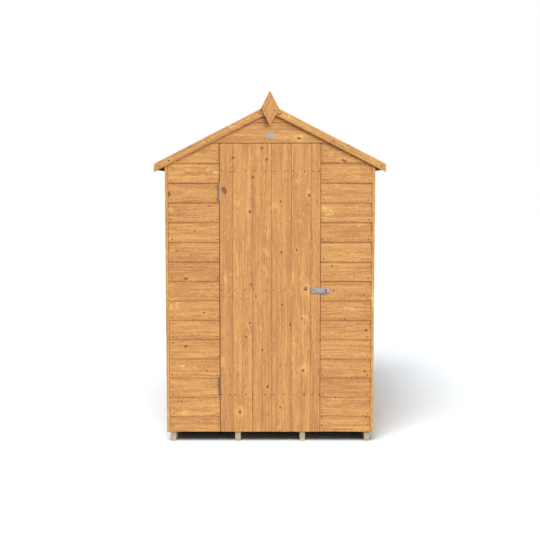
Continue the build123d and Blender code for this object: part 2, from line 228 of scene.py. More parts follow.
# coats: a figure, where it sets in and where it is full, its strength and its tint
coats = [("body", 0.36, 0.51, 1.0, "Middle"), ("body", 0.49, 0.63, 1.0, "Light"),
         ("stripe", 0.53, 0.60, 0.45, "Light"), ("stripe", 0.46, 0.40, 0.40, "Warm"),
         ("blush", 0.48, 0.68, 0.62, "Warm"), ("dashes", 0.55, 0.70, 0.65, "Light"),
         ("dashes", 0.45, 0.30, 0.60, "Dark")]
wood = {"swayReach": 0.05, "ringRate": 1050.0, "rippleReach": 5.0, "lateSharp": 2.6,
        "streak": 0.44, "broad": 0.17, "mottle": 0.39, "elsewhere": (7.0, 3.0, 5.0),
        "chipRate": 120.0, "chip": 1.5, "haloFall": -0.14, "halo": 0.3, "patch": 0.95, "tail": 0.4,
        "core": 0.82, "coreEdge": (1.2, 0.7), "rim": 0.52, "rimEdge": (1.3, 1.0),
        "rimColour": (0.17, 0.052, 0.024, 1.0), "bloom": 0.8, "bloomFrom": (0.59, 0.74),
        "patchFrom": (0.36, 0.58),
        "toneValue": 0.045, "toneHue": 0.003, "value": 0.985, "fibreValue": 0.05,
        "rough": 0.66, "lateRough": -0.10, "fibreHeight": 0.5, "lateHeight": 0.35, "coreHeight": 0.3}
tints = ("Pale", "Light", "Middle", "Warm", "Dark", "Knot")


def buildGrainGroup():
    values = [*knotStart, "Tone", "Ring Depth", "Figure"]
    inputs = [("Grain", "Vector")] + [(label, "Float") for label in values]
    inputs += [(tint, "Color") for tint in tints]
    tree, given, out = newGroup("timberGrain", inputs, faceOutputs)

    def figure(name, vector):
        along, across, detail, rough = figures[name]
        return cloud(stretch(vector, (along, across, across)), 1.0, detail, rough)

    def place(x, y, z):
        return addNode(tree, "CombineXYZ", {0: x, 1: y, 2: z}).outputs[0]

    part = addNode(tree, "SeparateXYZ", {0: given["Grain"]}).outputs
    bent = minus(part[1], given["Bend"])
    path = place(part[0], bent, part[2])
    sway = minus(figure("sway", path), 0.5)
    swayed = plus(bent, times(sway, wood["swayReach"]))
    line = place(part[0], swayed, part[2])
    elsewhere = addNode(tree, "VectorMath", {0: line, 1: wood["elsewhere"]}).outputs[0]

    # year rings, dark in the late wood
    around = place(0.0, swayed, part[2])
    radius = addNode(tree, "VectorMath", {0: around}, operation="LENGTH").outputs["Value"]
    ripple = times(figure("ripple", path), wood["rippleReach"])
    phase = plus(times(radius, wood["ringRate"]), ripple)
    wave = timesPlus(maths("SINE", phase), 0.5, 0.5)
    late = power(wave, wood["lateSharp"])

    # streaks, stripes, blushes and dashes, coat by coat
    fibre, mottle = figure("fibre", path), figure("mottle", path)
    body = plus(times(figure("streak", line), wood["streak"]), times(figure("broad", line), wood["broad"]))
    body = plus(body, times(mottle, wood["mottle"]))
    body = timesPlus(minus(body, 0.5), given["Figure"], 0.5)
    drawn = {"body": body, "stripe": figure("stripe", elsewhere), "blush": figure("blush", elsewhere),
             "dashes": figure("dashes", path)}
    colour = given["Dark"]
    for name, start, stop, strength, tint in coats:
        colour = mixColour(ramp(drawn[name], start, stop, 0.0, strength), colour, given[tint])

    # rings, then what surrounds a knot, then the knot
    chip = minus(cloud(given["Grain"], wood["chipRate"], 2.0, 0.6), 0.5)
    ragged = timesPlus(chip, wood["chip"], given["Reach"])
    halo = times(power(ragged, 2.0), wood["haloFall"])
    bloom = ramp(figure("bloom", elsewhere), *wood["bloomFrom"], 0.0, wood["bloom"])
    patch = times(most(given["Flare"], bloom), ramp(mottle, *wood["patchFrom"]))
    core = ramp(ragged, *wood["coreEdge"])
    rim = times(given["Rim"], ramp(ragged, *wood["rimEdge"]))
    marks = [(late, given["Ring Depth"], given["Dark"]),
             (maths("EXPONENT", halo), wood["halo"], given["Light"]),
             (patch, wood["patch"], given["Pale"]),
             (given["Tail"], wood["tail"], given["Dark"]),
             (core, wood["core"], given["Knot"]),
             (rim, wood["rim"], wood["rimColour"])]
    for mask, strength, tint in marks:
        colour = mixColour(times(mask, strength), colour, tint)

    # each board's own tone
    value = timesPlus(given["Tone"], wood["toneValue"], wood["value"])
    value = plus(value, times(fibre, wood["fibreValue"]))
    hue = timesPlus(given["Tone"], wood["toneHue"], 0.5)
    toned = addNode(tree, "HueSaturation", {"Color": colour, "Hue": hue, "Value": value})
    height = timesPlus(fibre, wood["fibreHeight"], times(late, wood["lateHeight"]))
    return closeGroup(tree, out, {"Color": toned.outputs[0],
                                  "Roughness": timesPlus(late, wood["lateRough"], wood["rough"]),
                                  "Height": minus(height, times(core, wood["coreHeight"]))})


knotField = buildKnotGroup()
timberGrain = buildGrainGroup()


def woodMaterial(name, finish):
    material, tree, shader = newMaterial(name, {"Specular IOR Level": finish["gloss"]})
    grain = addNode(tree, "Attribute", attribute_name="grain").outputs["Vector"]
    tone = addNode(tree, "Attribute", attribute_name="tone").outputs["Fac"]
    field = knotStart
    for label in knotLabels:
        knot = addNode(tree, "Attribute", attribute_name=label).outputs["Vector"]
        found = placeGroup(knotField, {"Grain": grain, "Knot": knot} | field)
        field = {key: found[key] for key in field}
    inputs = {"Grain": grain, "Tone": tone, "Ring Depth": finish["ringDepth"], "Figure": finish["figure"]}
    wireFace(shader, placeGroup(timberGrain, inputs | field | finish["colours"]), finish["relief"])
    return material


stainedFinish = {
    "colours": {"Pale": (0.98, 0.61, 0.205, 1), "Light": (0.82, 0.445, 0.150, 1),
                "Middle": (0.685, 0.340, 0.122, 1), "Warm": (0.56, 0.240, 0.096, 1),
                "Dark": (0.45, 0.195, 0.064, 1), "Knot": (0.31, 0.102, 0.043, 1)},
    "ringDepth": 0.38, "figure": 1.75, "gloss": 0.15, "relief": 0.35 * mm,
}
planedFinish = stainedFinish | {"ringDepth": 0.20, "figure": 1.05}
framingFinish = {
    "colours": {"Pale": (0.84, 0.50, 0.18, 1), "Light": (0.76, 0.43, 0.17, 1),
                "Middle": (0.63, 0.33, 0.13, 1), "Warm": (0.53, 0.24, 0.10, 1),
                "Dark": (0.43, 0.20, 0.070, 1), "Knot": (0.26, 0.09, 0.038, 1)},
    "ringDepth": 0.32, "figure": 1.1, "gloss": 0.2, "relief": 0.5 * mm,
}
bareFinish = {
    "colours": {"Pale": (0.80, 0.66, 0.48, 1), "Light": (0.73, 0.59, 0.42, 1),
                "Middle": (0.60, 0.48, 0.33, 1), "Warm": (0.50, 0.37, 0.235, 1),
                "Dark": (0.40, 0.29, 0.175, 1), "Knot": (0.26, 0.14, 0.065, 1)},
    "ringDepth": 0.34, "figure": 1.2, "gloss": 0.2, "relief": 0.5 * mm,
}
stainedBoards = woodMaterial("stainedBoards", stainedFinish)
planedBoards = woodMaterial("planedBoards", planedFinish)
framingWood = woodMaterial("framingWood", framingFinish)
bareSoftwood = woodMaterial("bareSoftwood", bareFinish)

# flake board of the roof deck: three layers of flakes, each as (turn, rate)
flakes = {"layers": [(0.3, 9.0), (1.4, 8.0), (2.4, 11.0)], "shape": (1.0, 4.0, 1.0), "overlap": (0.45, 0.55),
          "pale": (0.62, 0.42, 0.21, 1), "dark": (0.42, 0.26, 0.11, 1), "gritColour": (0.34, 0.20, 0.085, 1),
          "gritRate": 160.0, "grit": 0.3, "roughFrom": (0.2, 0.8), "rough": (0.6, 0.8),
          "layerHeight": 0.5, "relief": 0.4 * mm}


def flakeBoardMaterial():
    material, tree, shader = newMaterial("flakeBoard", {})
    place = addNode(tree, "TexCoord").outputs["Object"]
    colour = None
    for turn, rate in flakes["layers"]:
        turned = addNode(tree, "VectorRotate", {"Vector": place, "Angle": turn}, rotation_type="Z_AXIS")
        shade = cellShades(stretch(turned.outputs[0], flakes["shape"]), rate)
        tint = mixColour(shade[0], flakes["pale"], flakes["dark"])
        if colour is None:
            colour, height = tint, shade[2]
            continue
        colour = mixColour(ramp(shade[1], *flakes["overlap"]), colour, tint)
        height = plus(height, times(shade[2], flakes["layerHeight"]))
    grit = cloud(place, flakes["gritRate"], 3.0)
    colour = mixColour(times(grit, flakes["grit"]), colour, flakes["gritColour"])
    rough = ramp(grit, *flakes["roughFrom"], *flakes["rough"])
    wireFace(shader, {"Color": colour, "Roughness": rough, "Height": height}, flakes["relief"])
    return material


# roof felt faced with mineral chips, dull where it is worn
chips = {"rate": 620.0, "dark": (0.060, 0.078, 0.058, 1), "pale": (0.155, 0.185, 0.145, 1),
         "bright": (0.34, 0.36, 0.32, 1), "brightFrom": (0.82, 0.92), "wornRate": 5.0,
         "wornFrom": (0.35, 0.7), "worn": 0.4,
         "wornColour": (0.085, 0.095, 0.085, 1), "wornHeight": 2.0, "rough": (0.82, 0.96), "gloss": 0.2,
         "relief": 0.5 * mm}


def feltMaterial():
    material, tree, shader = newMaterial("mineralFelt", {"Specular IOR Level": chips["gloss"]})
    place = addNode(tree, "TexCoord").outputs["Object"]
    shade = cellShades(place, chips["rate"])
    grit = mixColour(shade[0], chips["dark"], chips["pale"])
    grit = mixColour(ramp(shade[1], *chips["brightFrom"]), grit, chips["bright"])
    worn = cloud(place, chips["wornRate"], 4.0, 0.6)
    colour = mixColour(ramp(worn, *chips["wornFrom"], 0.0, chips["worn"]), grit, chips["wornColour"])
    rough = ramp(shade[2], 0.0, 1.0, *chips["rough"])
    height = plus(shade[0], times(worn, chips["wornHeight"]))
    wireFace(shader, {"Color": colour, "Roughness": rough, "Height": height}, chips["relief"])
    return material


# zinc of the ironmongery, the nails and the plate
# this holds the heights and colour of a painted shade that darkens the hinges lower down
zinc = {"smearRate": 70.0, "smear": 0.8, "flake": 0.2, "rub": (30.0, 400.0, 900.0), "rough": 0.28,
        "smearRough": 0.25, "smearHeight": 0.5, "paleFrom": (0.25, 0.75), "dirtBetween": (1.1, 0.3),
        "dirtColour": (0.10, 0.078, 0.060, 1.0)}


def buildZincGroup():
    inputs = [("Place", "Vector"), ("Pale", "Color"), ("Dull", "Color"), ("Grain Size", "Float"),
              ("Dirt", "Float")]
    tree, given, out = newGroup("zincFace", inputs, faceOutputs)
    place = given["Place"]
    shade = cellShades(place, given["Grain Size"])
    smear = cloud(place, zinc["smearRate"], 4.0, 0.6)
    rub = cloud(stretch(place, zinc["rub"]), 1.0, 2.0)
    blend = plus(times(shade[0], zinc["flake"]), times(smear, zinc["smear"]))
    colour = mixColour(ramp(blend, *zinc["paleFrom"]), given["Dull"], given["Pale"])
    level = addNode(tree, "SeparateXYZ", {0: place}).outputs[2]
    paintedShade = times(ramp(level, *zinc["dirtBetween"]), given["Dirt"])        # painted shade: the hinges darken lower down
    return closeGroup(tree, out, {"Color": mixColour(paintedShade, colour, zinc["dirtColour"]),
                                  "Roughness": timesPlus(smear, zinc["smearRough"], zinc["rough"]),
                                  "Height": plus(rub, times(smear, zinc["smearHeight"]))})


zincFace = buildZincGroup()


def metalMaterial(name, finish):
    fixed = {"Metallic": finish["metallic"], "Specular IOR Level": finish["gloss"]}
    material, tree, shader = newMaterial(name, fixed)
    place = addNode(tree, "TexCoord").outputs["Object"]
    wireFace(shader, placeGroup(zincFace, {"Place": place} | finish["face"]), finish["relief"])
    return material


zincFinish = {
    "face": {"Pale": (0.345, 0.35, 0.38, 1), "Dull": (0.262, 0.267, 0.292, 1), "Grain Size": 260.0},
    "metallic": 0.35, "gloss": 0.5, "relief": 0.05 * mm,
}
hingeFinish = {
    # the hinges take painted shade, darker lower down
    "face": {"Pale": (0.36, 0.335, 0.285, 1), "Dull": (0.25, 0.225, 0.185, 1), "Dirt": 0.7,
             "Grain Size": 260.0},
    "metallic": 0.25, "gloss": 0.4, "relief": 0.05 * mm,
}
nailFinish = {
    "face": {"Pale": (0.034, 0.019, 0.010, 1), "Dull": (0.016, 0.009, 0.005, 1), "Grain Size": 500.0},
    "metallic": 0.0, "gloss": 0.1, "relief": 0.1 * mm,
}
plateFinish = {
    "face": {"Pale": (0.388, 0.396, 0.424, 1), "Dull": (0.318, 0.326, 0.355, 1), "Grain Size": 180.0},
    "metallic": 0.1, "gloss": 0.5, "relief": 0.05 * mm,
}
zincSteel = metalMaterial("zincSteel", zincFinish)
hingeSteel = metalMaterial("hingeSteel", hingeFinish)
nailSteel = metalMaterial("nailSteel", nailFinish)
plateMetal = metalMaterial("plateMetal", plateFinish)
flakeBoard = flakeBoardMaterial()
mineralFelt = feltMaterial()
print("materials ready")

# each board's place in the log, and its tone
logs = {"shift": (0, 60), "pith": (-0.55, 0.55), "heart": (12 * mm, 55 * mm), "tone": (-1, 1),
        "seed": (0, 900)}


def drawLot(width, paler=0.0):
    lot = {key: dice.uniform(*span) for key, span in logs.items()}
    lot["pith"] *= width
    lot["tone"] += paler
    return lot


def drawKnots(start, low, length, width, rule, largest=math.inf):
    count = min(knots["perBoard"], int(length / rule["knotGap"] + dice.random()))
    drawn = []
    for _ in range(count):
        where, side = start + dice.uniform(0, length), low + dice.uniform(*knots["inside"]) * width
        drawn.append((where, side, min(dice.uniform(*rule["knotSizes"]), largest)))
    return drawn


def woodLayers(bm):
    layers = {"grain": bm.verts.layers.float_vector.new("grain"), "tone": bm.verts.layers.float.new("tone")}
    for label in knotLabels:
        layers[label] = bm.verts.layers.float_vector.new(label)
    return layers


def markVert(vert, layers, lot, along, across, out, knotList):
    vert[layers["grain"]] = Vector((along + lot["shift"], across - lot["pith"], out + lot["heart"]))
    vert[layers["tone"]] = lot["tone"]
    for index, label in enumerate(knotLabels):
        place = Vector((knots["away"], knots["away"], knots["spare"]))
        if index < len(knotList):
            where, side, radius = knotList[index]
            place = Vector((where + lot["shift"], side - lot["pith"], radius))
        vert[layers[label]] = place


# mesh helpers
def skinRings(bm, rings):       # a closed skin over rings of points
    faces = []
    size = len(rings[0])
    for near, far in zip(rings, rings[1:]):
        for index in range(size):
            after = (index + 1) % size
            faces.append(bm.faces.new((near[index], near[after], far[after], far[index])))
    faces += [bm.faces.new(rings[0][::-1]), bm.faces.new(rings[-1])]
    bmesh.ops.recalc_face_normals(bm, faces=faces)


def roundRing(sides, wide, tall, turn=0.0):     # points of an oval about the origin
    angles = [2 * math.pi * index / sides + turn for index in range(sides)]
    return [(wide * math.cos(angle), tall * math.sin(angle)) for angle in angles]


def sweepBoard(bm, layers, profile, ends, place, lot, knotList, step):
    # profile: (across, out) round the section; ends(across) gives where that line starts and stops
    span = max(ends(across)[1] - ends(across)[0] for across, _ in profile)
    stations = max(2, round(span / step))
    rows = []
    for index in range(stations + 1):
        row = []
        for across, out in profile:
            start, stop = ends(across)
            along = start + (stop - start) * (index / stations)
            vert = bm.verts.new(place(along, across, out))
            markVert(vert, layers, lot, along, across, out, knotList)
            row.append(vert)
        rows.append(row)
    skinRings(bm, rows)


def finishPiece(name, bm, material, body, slot, smoothAngle=32, node=None):
    mesh = bpy.data.meshes.new(name)
    bm.to_mesh(mesh)
    bm.free()
    mesh.shade_smooth()
    mesh.set_sharp_from_angle(angle=math.radians(smoothAngle))
    mesh.materials.append(material)
    piece = bpy.data.objects.new(name, mesh)
    scene.collection.objects.link(piece)
    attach(piece, body)
    if node:
        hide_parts(node)


def finishNode(name, bm, material, node, smoothAngle=32):       # a piece that stands for a CAD node
    finishPiece(name, bm, material, bodyOf[node], slotOf[node], smoothAngle, node)


# lapped boards on the four walls
lapped = {"thick": 8 * mm, "lap": 20 * mm, "pitch": 123 * mm, "round": 1.6 * mm, "roundTurn": 0.3,
          "middle": 0.6, "step": 60 * mm, "edgeWave": 0.8 * mm, "waveRate": 2.4, "bow": 0.7 * mm,
          "bowRates": (1.7, 6), "lip": 1.3 * mm, "backGap": 0.2 * mm, "pastPost": 1.4 * mm, "endGap": 2 * mm,
          "underRidge": 2 * mm, "underDeck": 0.4 * mm, "gableLift": 1.4 * mm, "gablePitch": 126.2 * mm,
          "gableRows": 2, "knotGap": 0.55, "knotSizes": (3 * mm, 8 * mm)}
leanRate = lapped["thick"] / lapped["pitch"]


def lapLows(foot, stop):        # lower edges of the boards, counted from the doorway's head
    levels = [headLevel]
    while levels[0] - lapped["pitch"] > foot + lapped["lap"]:
        levels.insert(0, levels[0] - lapped["pitch"])
    while levels[-1] + lapped["pitch"] < stop:
        levels.append(levels[-1] + lapped["pitch"])
    return [foot] + [level for level in levels if foot < level < stop]


def lapRows(lows):      # each lower edge with the next one up
    return zip(lows, lows[1:] + [lows[-1] + lapped["pitch"]])


def gableHalf(z):
    return min(halfWidth, (ridgeUnder - z) / roofTan)


def lapWall(name, node, lows, ends, place, ownKnots=()):
    bm = bmesh.new()
    layers = woodLayers(bm)
    thick, curve, back = lapped["thick"], lapped["round"], lapped["backGap"]
    turn = lapped["roundTurn"] * curve
    for low, nextLow in lapRows(lows):
        top = nextLow + lapped["lap"]
        if "side" not in name:
            top = min(top, ridgeUnder - lapped["underRidge"])
        lot = drawLot(lapped["pitch"])
        levels = {low + curve, low + lapped["lap"], low + lapped["middle"] * (top - low), top}
        if low + curve < eavesLevel < top:      # the board's ends slope from here up
            levels.add(eavesLevel)
        levels = sorted(levels)
        profile = [(low, back), (low, thick - curve), (low + turn, thick - turn)]
        profile += [(level, thick) for level in levels]
        profile += [(level, back) for level in reversed(levels[1:])]

        def lay(along, z, out):
            wave = noise.noise(Vector((along * lapped["waveRate"], lot["seed"], 0))) * lapped["edgeWave"]
            bowAt = Vector((along * lapped["bowRates"][0], lot["seed"], z * lapped["bowRates"][1]))
            lowShare = max(0.0, 1 - (z - low) / lapped["lap"])
            depth = leanRate * (top - z) + out
            if out > back:
                depth += (lapped["lip"] + noise.noise(bowAt) * lapped["bow"]) * lowShare
            return place(along, z + wave * lowShare, depth)

        mine = [(x, z, radius) for x, z, radius in ownKnots if low < z < nextLow]
        if not ownKnots:
            start, stop = ends(low)
            mine = drawKnots(start, low, stop - start, lapped["pitch"], lapped)
        sweepBoard(bm, layers, profile, ends, lay, lot, mine, lapped["step"])
    finishNode(name, bm, stainedBoards, node)


# knots that catch the eye on the front, as (across, up, radius) in millimetres
leftKnots = [(-638, 1506, 17), (-527, 978, 8), (-532, 547, 8), (-416, 762, 6), (-612, 571, 6),
             (-470, 1273, 5), (-580, 1153, 5), (-380, 1433, 4), (-560, 193, 6), (-400, 393, 5),
             (-455, 63, 5)]
rightKnots = [(463, 1711, 8), (452, 1718, 5), (388, 1057, 7), (605, 651, 8), (599, 389, 8), (418, 223, 9),
              (473, 721, 7), (560, 1403, 4), (400, 903, 5), (500, 533, 5), (590, 873, 6), (380, 53, 4)]
gableKnots = [(180, 1852, 9), (-155, 1933, 8), (260, 1905, 4), (-290, 1868, 4)]


def fromFoot(marks):        # heights count from the boards' lowest edge
    return [(x * mm, boardsFoot + z * mm, radius * mm) for x, z, radius in marks]


frontLows = lapLows(boardsFoot, headLevel)
gableFoot = headLevel + lapped["gableLift"]
gableLows = [gableFoot + row * lapped["gablePitch"] for row in range(lapped["gableRows"])]
sideLows = lapLows(boardsFoot, eavesLevel - lapped["lap"])
backLows = lapLows(boardsFoot, ridgeUnder - lapped["lap"])
panelEdge = doorwayHalf - lapped["pastPost"]
outFront, outBack = Vector((0, -1, 0)), Vector((0, 1, 0))


def onFront(x, z, depth):
    return Vector((x, -halfDepth - depth, z))


def onBack(x, z, depth):
    return Vector((x, halfDepth + depth, z))


def onSide(facing):
    def place(y, z, depth):
        level = min(z, ridgeUnder - (halfWidth + depth) * roofTan - lapped["underDeck"])
        return Vector((facing * (halfWidth + depth), y, level))
    return place


def gableEnds(z):
    return -gableHalf(z), gableHalf(z)


def sideEnds(z):
    return -sideReach, sideReach


lapWall("front_left_boards", "front_left_cladding", frontLows,
        lambda z: (-gableHalf(z) + lapped["endGap"], -panelEdge), onFront, fromFoot(leftKnots))
lapWall("front_right_boards", "front_right_cladding", frontLows,
        lambda z: (panelEdge, gableHalf(z)), onFront, fromFoot(rightKnots))
lapWall("front_gable_boards", "front_gable_cladding", gableLows, gableEnds, onFront, fromFoot(gableKnots))
lapWall("back_boards", "back_wall_cladding", backLows, gableEnds, onBack)
lapWall("left_side_boards", "left_wall_cladding", sideLows, sideEnds, onSide(-1))
lapWall("right_side_boards", "right_wall_cladding", sideLows, sideEnds, onSide(1))
print("lapped walls done, rows", len(frontLows), len(gableLows), len(sideLows), len(backLows))

# timbers that keep their CAD form: a copy with eased arrises and its own grain
timber = {"ease": 1.2 * mm, "bearerEase": 2 * mm, "deckEase": 0.6 * mm, "finialEase": 1.6 * mm,
          "finialWide": 1.03, "finialLift": 2.5 * mm, "finialGrain": (0.459, 0, 0.888),
          "knotGap": 0.5, "knotSizes": (3 * mm, 7 * mm), "knotShare": 0.3,
          "proud": 3.2 * mm, "proudFrom": 5 * mm, "paler": {"bargeboard": 1.5, "corner": 1.2}}
arris = {"weld": 0.01 * mm, "flat": 0.5, "sharp": 28, "segments": 2, "profile": 0.6}


def copyNode(node):
    bm = bmesh.new()
    bm.from_mesh(frame["nodes"][node].data)
    bmesh.ops.remove_doubles(bm, verts=bm.verts, dist=arris["weld"])
    flat = math.radians(arris["flat"])
    bmesh.ops.dissolve_limit(bm, angle_limit=flat, verts=bm.verts, edges=bm.edges)
    return bm


def easeArrises(bm, width, sharp=arris["sharp"]):
    paired = [edge for edge in bm.edges if len(edge.link_faces) == 2]
    edges = [edge for edge in paired if edge.calc_face_angle() > math.radians(sharp)]
    bmesh.ops.bevel(bm, geom=edges, offset=width, segments=arris["segments"], affect="EDGES",
                    profile=arris["profile"], clamp_overlap=True)


def islands(bm):
    seen = set()
    for start in bm.verts:
        if start in seen:
            continue
        group, queue = [], [start]
        seen.add(start)
        while queue:
            vert = queue.pop()
            group.append(vert)
            for edge in vert.link_edges:
                other = edge.other_vert(vert)
                if other not in seen:
                    seen.add(other)
                    queue.append(other)
        yield group


def layGrain(bm, along, paler):     # grain runs along the longest way of each stick
    layers = woodLayers(bm)
    for group in list(islands(bm)):
        points = np.array([vert.co for vert in group])
        middle = points.mean(axis=0)
        axes = [Vector(axis) for axis in np.linalg.svd(points - middle, full_matrices=False)[2]]
        if along:
            axes[0] = Vector(along)
            axes[1] = axes[2].cross(axes[0])
        local = [[(Vector(point) - Vector(middle)).dot(axis) for axis in axes] for point in points]
        low, high = np.min(local, axis=0), np.max(local, axis=0)
        length, width = high[0] - low[0], high[1] - low[1]
        lot = drawLot(width, paler)
        mine = drawKnots(low[0], low[1], length, width, timber, timber["knotShare"] * width)
        for vert, place in zip(group, local):
            markVert(vert, layers, lot, *place, mine)


def hideFelt(bm):       # the bargeboards' tops stand level with the felt behind them
    for vert in bm.verts:
        if vert.co.z > bargePeak - abs(vert.co.x) * roofTan - timber["proudFrom"]:
            vert.co.z += timber["proud"]


def dressTimber(node, material, width=timber["ease"], ending="_timber"):
    bm = copyNode(node)
    along = None
    if "bargeboard" in node:
        hideFelt(bm)
    if "finial" in node:
        bmesh.ops.scale(bm, vec=(timber["finialWide"], 1, 1), verts=bm.verts)
        bmesh.ops.translate(bm, vec=(0, 0, timber["finialLift"]), verts=bm.verts)
        along, width = timber["finialGrain"], timber["finialEase"]
    easeArrises(bm, width)
    layGrain(bm, along, sum(lift for word, lift in timber["paler"].items() if word in node))
    finishNode(node + ending, bm, material, node)


for node in nodesOf("stained_boards"):
    if "cladding" not in node and node != "door_boards":        # those are built board by board
        dressTimber(node, stainedBoards)
for node in nodesOf("framing"):
    dressTimber(node, framingWood)
dressTimber("floor_bearers", bareSoftwood, timber["bearerEase"])
for node in nodesOf("roof_board"):
    dressTimber(node, flakeBoard, timber["deckEase"], "_sheet")
print("frame, trims and bearers dressed")

# floor of narrow boards across the bearers
floor = {"boards": 18, "gap": 0.8 * mm, "chamfer": 1.0 * mm, "step": 90 * mm, "knotGap": 0.5,
         "knotSizes": (3 * mm, 8 * mm)}


def floorBoards():
    low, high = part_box("floor_deck")
    bm = bmesh.new()
    layers = woodLayers(bm)
    width = (high.y - low.y) / floor["boards"]
    thick, edge = high.z - low.z, floor["chamfer"]
    for index in range(floor["boards"]):
        start = low.y + index * width + floor["gap"] / 2
        stop = start + width - floor["gap"]
        profile = [(start, 0), (start, thick - edge), (start + edge, thick)]
        profile += [(stop - edge, thick), (stop, thick - edge), (stop, 0)]
        mine = drawKnots(low.x, start, high.x - low.x, width, floor)
        sweepBoard(bm, layers, profile, lambda y: (low.x, high.x),
                   lambda x, y, out: Vector((x, y, low.z + out)), drawLot(width), mine, floor["step"])
    finishNode("floor_boards", bm, bareSoftwood, "floor_deck")


floorBoards()

# door: six boards with chamfered joints and a bead groove down the middle of each full one
door = {"first": 78 * mm, "pitch": 122.5 * mm, "joint": 3.4 * mm, "seam": 0.4 * mm, "beadWide": 5 * mm,
        "beadDeep": 1.8 * mm, "step": 45 * mm, "growSide": 1.4 * mm, "growTop": 3.5 * mm,
        "backJoint": 2 * mm}
doorKnots = [(-285, 1531, 18), (-107, 1613, 8), (-228, 1732, 8), (-50, 1792, 8), (-124, 1398, 9),
             (-120, 942, 7), (-88, 867, 6), (-127, 698, 7), (-151, 607, 6), (-49, 526, 6), (-16, 291, 8),
             (-192, 127, 10), (67, 1462, 6), (244, 1500, 9), (71, 1144, 6), (166, 1159, 6), (226, 915, 11),
             (76, 813, 5), (126, 687, 6), (202, 727, 5), (208, 393, 9.5), (63, 427, 5), (65, 157, 6),
             (45, 74, 5), (-20, 1723, 7)]


def doorJoints():
    joints = [doorLow.x + door["first"]]
    while joints[-1] + door["pitch"] < doorHigh.x:
        joints.append(joints[-1] + door["pitch"])
    return [doorLow.x - door["growSide"]] + joints + [doorHigh.x + door["growSide"]]


def doorBoards():
    bm = bmesh.new()
    layers = woodLayers(bm)
    joints = doorJoints()
    lastBoard = len(joints) - 2
    thick = doorHigh.y - doorLow.y
    cut, seam, back = door["joint"], door["seam"] / 2, door["backJoint"]
    wide, deep = door["beadWide"] / 2, door["beadDeep"]
    marks = fromFoot(doorKnots)
    for index, (start, stop) in enumerate(zip(joints, joints[1:])):
        left = start + (seam if index else 0)
        right = stop - (seam if index < lastBoard else 0)
        profile = [(left + back, 0), (left, back), (left, thick - cut), (left + cut, thick)]
        if 0 < index < lastBoard:
            middle = (start + stop) / 2
            profile += [(middle - wide, thick), (middle, thick - deep), (middle + wide, thick)]
        profile += [(right - cut, thick), (right, thick - cut), (right, back), (right - back, 0)]
        lot = drawLot(door["pitch"])
        mine = [(z, x, radius) for x, z, radius in marks if start < x < stop]
        sweepBoard(bm, layers, profile, lambda x: (doorLow.z, doorHigh.z + door["growTop"]),
                   lambda z, x, out: Vector((x, doorHigh.y - out, z)), lot, mine, door["step"])
    finishNode("door_boards_beaded", bm, planedBoards, "door_boards")


doorBoards()
print("floor and door boards done")

# roof felt: the CAD sheet sliced finely, with a slight ripple where it lies on the deck; the left sheet has
# a dark strip under its eaves as painted shade
felt = {"ease": 0.9 * mm, "slice": 45 * mm, "ripple": 1.1 * mm, "rippleRate": 5.0, "rippleShift": (3, 7, 11),
        "upward": 0.5, "capDrop": 2.2 * mm, "tuckUp": 9 * mm, "tuckThick": 1.5 * mm, "tuckGap": 0.2 * mm}


def slicePlanes(bm, axis, low, high, step):
    count = max(1, round((high - low) / step))
    normal = [0, 0, 0]
    normal[axis] = 1
    for index in range(1, count):
        point = [0, 0, 0]
        point[axis] = low + (high - low) * index / count
        everything = bm.verts[:] + bm.edges[:] + bm.faces[:]
        bmesh.ops.bisect_plane(bm, geom=everything, plane_co=point, plane_no=normal)


def shadeFeltUnderLeftEaves(bm, low, high):        # the left sheet is turned in under its eaves strip: a dark felt strip put there as painted shade
    strips = frame["nodes"]["eaves_strips"].data.vertices
    start, under = low.x, low.z - felt["tuckGap"]
    face = max(vert.co.x for vert in strips if vert.co.x < 0) + felt["tuckGap"]
    thick, top = felt["tuckThick"], low.z + felt["tuckUp"]
    corners = [(start, under), (face, under), (face, top), (face + thick, top),
               (face + thick, under - thick), (start, under - thick)]
    rings = [[bm.verts.new((x, y, z)) for x, z in corners] for y in (low.y, high.y)]
    skinRings(bm, rings)


def layFelt(node):
    bm = copyNode(node)
    easeArrises(bm, felt["ease"])
    low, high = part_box(node)
    for axis in (1, 0):
        slicePlanes(bm, axis, low[axis], high[axis], felt["slice"])
    bm.normal_update()
    for vert in bm.verts:
        if vert.normal.z > felt["upward"]:
            ripple = noise.noise(vert.co * felt["rippleRate"] + Vector(felt["rippleShift"]))
            vert.co.z += abs(ripple) * felt["ripple"]
            if "cap" in node:       # the cap is dressed down at its two ends
                vert.co.z -= felt["capDrop"] * max(0.0, 1 - (high.y - abs(vert.co.y)) / felt["slice"])
    # a dark strip under the left eaves only, as painted shade
    if node == "felt_left":
        shadeFeltUnderLeftEaves(bm, low, high)
    finishNode(node + "_sheet", bm, mineralFelt, node, smoothAngle=40)


for node in nodesOf("mineral_felt"):
    layFelt(node)

# nails: rings as (share of the radius, share of the rise)
nails = {"radius": 3.7 * mm, "rise": 0.5 * mm, "sides": 12, "rings": [(1.0, -0.4), (1.0, 0.55), (0.82, 1.0)],
         "wander": 3 * mm, "lapWander": 4 * mm, "aboveEdge": 17 * mm, "footRows": (38 * mm, 93 * mm),
         "inset": 21 * mm, "doorwayInset": (7 * mm, 12 * mm), "gableColumns": [-331 * mm, 329 * mm],
         "backStud": 207.7 * mm, "sideStuds": (281 * mm, 843 * mm), "edgeRoom": 60 * mm}


def headOutline(rule, radius, rise, turn=0.0):      # rings of a round head, each with its height
    outline = []
    for size, height in rule["rings"]:
        outline.append((roundRing(rule["sides"], size * radius, size * radius, turn), height * rise))
    return outline


